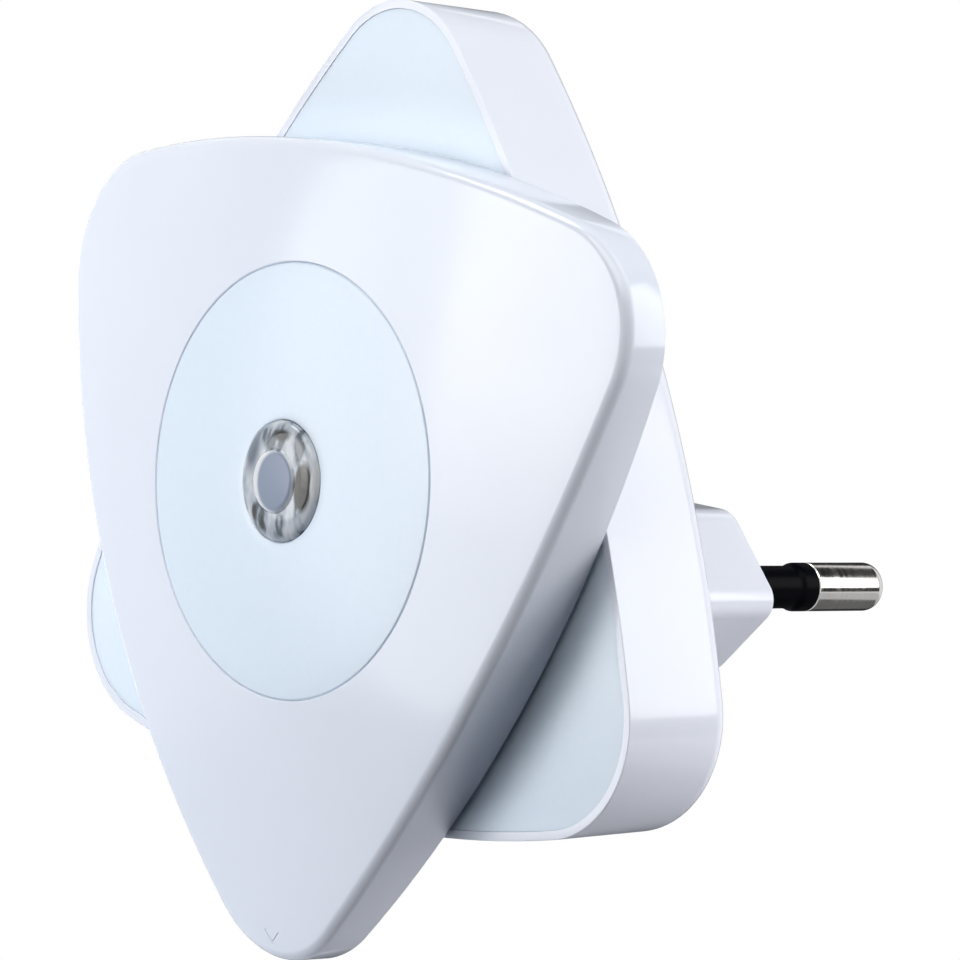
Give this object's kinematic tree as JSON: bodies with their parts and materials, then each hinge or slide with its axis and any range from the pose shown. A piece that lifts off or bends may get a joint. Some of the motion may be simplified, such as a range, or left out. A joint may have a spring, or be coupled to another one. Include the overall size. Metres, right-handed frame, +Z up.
{
  "type": "plug in night light",
  "caption": "Round-cornered triangular night light on a two pin plug; a triangular front cover turns on a domed hub with a light sensor lens and bares the lit diffuser.",
  "frame": {"origin": "middle of the plug's flat end face, halfway between the two pins", "axes": "+Y out of the plug towards the socket, along the pins; +Z up; +X to the right seen from the front; the front faces -Y"},
  "size_m": [0.0678, 0.0572, 0.0756],
  "materials": {
    "housing": "glossy white moulded plastic",
    "diffuser": "frosted milky plastic",
    "disc": "milky bluish white moulded plastic",
    "cover": "glossy white moulded plastic",
    "felt": "pressed felt",
    "lens": "clear moulded plastic",
    "black_plastic": "matte",
    "steel": "zinc plated",
    "board": "satin laminate",
    "led": "filled resin on a white case",
    "red_case": "dipped case",
    "blue_case": "shrunk film",
    "green_case": "lacquer",
    "diode_glass": "glass body",
    "chip": "glazed top",
    "nickel": "nickel plated brass",
    "sleeve": "satin",
    "clamp_plastic": "natural",
    "strip": "rolled"
  },
  "bodies": {
    "main": {"rear_housing": "housing", "diffuser": "diffuser", "hub": "disc", "friction_ring": "felt", "sensor_lens": "lens", "sensor_tube": "black_plastic", "light_sensor": "lens", "sensor_legs": "steel", "circuit_board": "board", "corner_leds": "led", "hub_leds": "led", "film_capacitor": "red_case", "smoothing_capacitor": "blue_case", "bridge_rectifier": "black_plastic", "fuse_resistor": "green_case", "zener_diode": "diode_glass", "chip_resistors": "chip", "transistor": "black_plastic", "pin_left": "nickel", "pin_right": "nickel", "sleeve_left": "sleeve", "sleeve_right": "sleeve", "pin_clamp": "clamp_plastic", "clamp_screw": "steel", "contact_strip_left": "strip", "contact_strip_right": "strip", "housing_screws": "steel", "hub_screws": "steel"},
    "cover": {"front_cover": "cover"}
  },
  "joints": [
    {"name": "cover_turn", "type": "hinge", "parent": "main", "child": "cover", "pos_m": [0, -0.0325, 0.007], "axis": [0, 1, 0], "range_deg": [-60, 60]}
  ]
}
